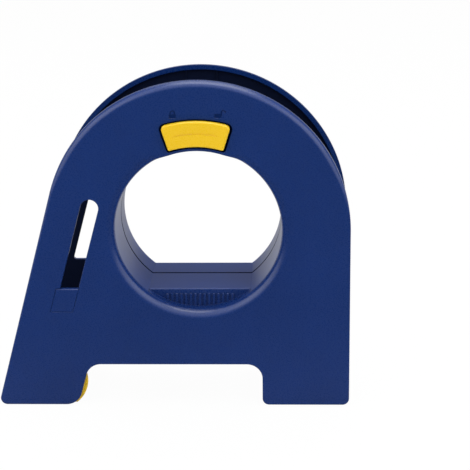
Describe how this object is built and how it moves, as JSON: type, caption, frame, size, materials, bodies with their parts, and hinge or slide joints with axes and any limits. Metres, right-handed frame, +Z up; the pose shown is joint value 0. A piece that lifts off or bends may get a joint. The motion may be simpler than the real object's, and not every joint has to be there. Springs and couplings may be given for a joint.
{
  "type": "masking tape applicator",
  "caption": "Hand-held masking tape applicator: two dished side plates on a bored hub, with a press roller, blade and sprung guard in the leg and a turning lock cap.",
  "frame": {"origin": "middle of the body's bounding box, on the surface that the feet stand on", "axes": "+X to the right as the lock's cap is looked at, +Y from the front plate to the rear plate, +Z up"},
  "size_m": [0.153, 0.043, 0.1435],
  "materials": {
    "blue_plastic": "fine satin texture, moulded",
    "yellow_plastic": "satin, moulded",
    "black_plastic": "satin, moulded",
    "white_plastic": "smooth, low friction",
    "rubber": "ground, matt",
    "steel": "bright"
  },
  "bodies": {
    "front_half": {"front_shell": "blue_plastic", "guide_roller_axle": "steel", "press_roller_axle": "steel", "press_washer_front": "white_plastic", "press_washer_rear": "white_plastic", "brake_tab_spring": "steel", "guard_pin": "steel", "guard_spring": "steel", "blade_holder": "black_plastic", "cutter_blade": "steel", "blade_screw_front": "steel", "blade_screw_rear": "steel"},
    "rear_half": {"rear_shell": "blue_plastic"},
    "lock": {"lock_button": "yellow_plastic", "lock_latch": "black_plastic"},
    "brake": {"brake_tab": "blue_plastic"},
    "press_roller": {"press_roller_core": "white_plastic", "press_roller_sleeve": "rubber"},
    "guide": {"guide_roller": "white_plastic"},
    "guard": {"blade_guard": "yellow_plastic"}
  },
  "joints": [
    {"name": "rear_half_off", "type": "slide", "parent": "front_half", "child": "rear_half", "axis": [0, 1, 0], "range_m": [0, 0.05]},
    {"name": "lock_turn", "type": "hinge", "parent": "front_half", "child": "lock", "pos_m": [0.01195, -0.0194, 0.0795], "axis": [0, 1, 0], "range_deg": [-6, 6]},
    {"name": "brake_press", "type": "hinge", "parent": "front_half", "child": "brake", "pos_m": [-0.04683, -0.016, 0.0454], "axis": [-1, 0, 0], "range_deg": [0, 5], "stiffness_Nm_per_rad": 0.01, "springref_deg": -11.46},
    {"name": "press_roller_turn", "type": "hinge", "parent": "front_half", "child": "press_roller", "pos_m": [-0.05163, 0.00105, 0.00935], "axis": [0, 1, 0], "continuous": true},
    {"name": "guide_roller_turn", "type": "hinge", "parent": "front_half", "child": "guide", "pos_m": [-0.06253, 0.00105, 0.0265], "axis": [0, 1, 0], "continuous": true},
    {"name": "guard_swing", "type": "hinge", "parent": "front_half", "child": "guard", "pos_m": [-0.05203, 0.00105, 0.023], "axis": [0, 1, 0], "range_deg": [0, 15], "stiffness_Nm_per_rad": 0.01, "springref_deg": -17.19, "deforming": ["guard_spring"]}
  ]
}
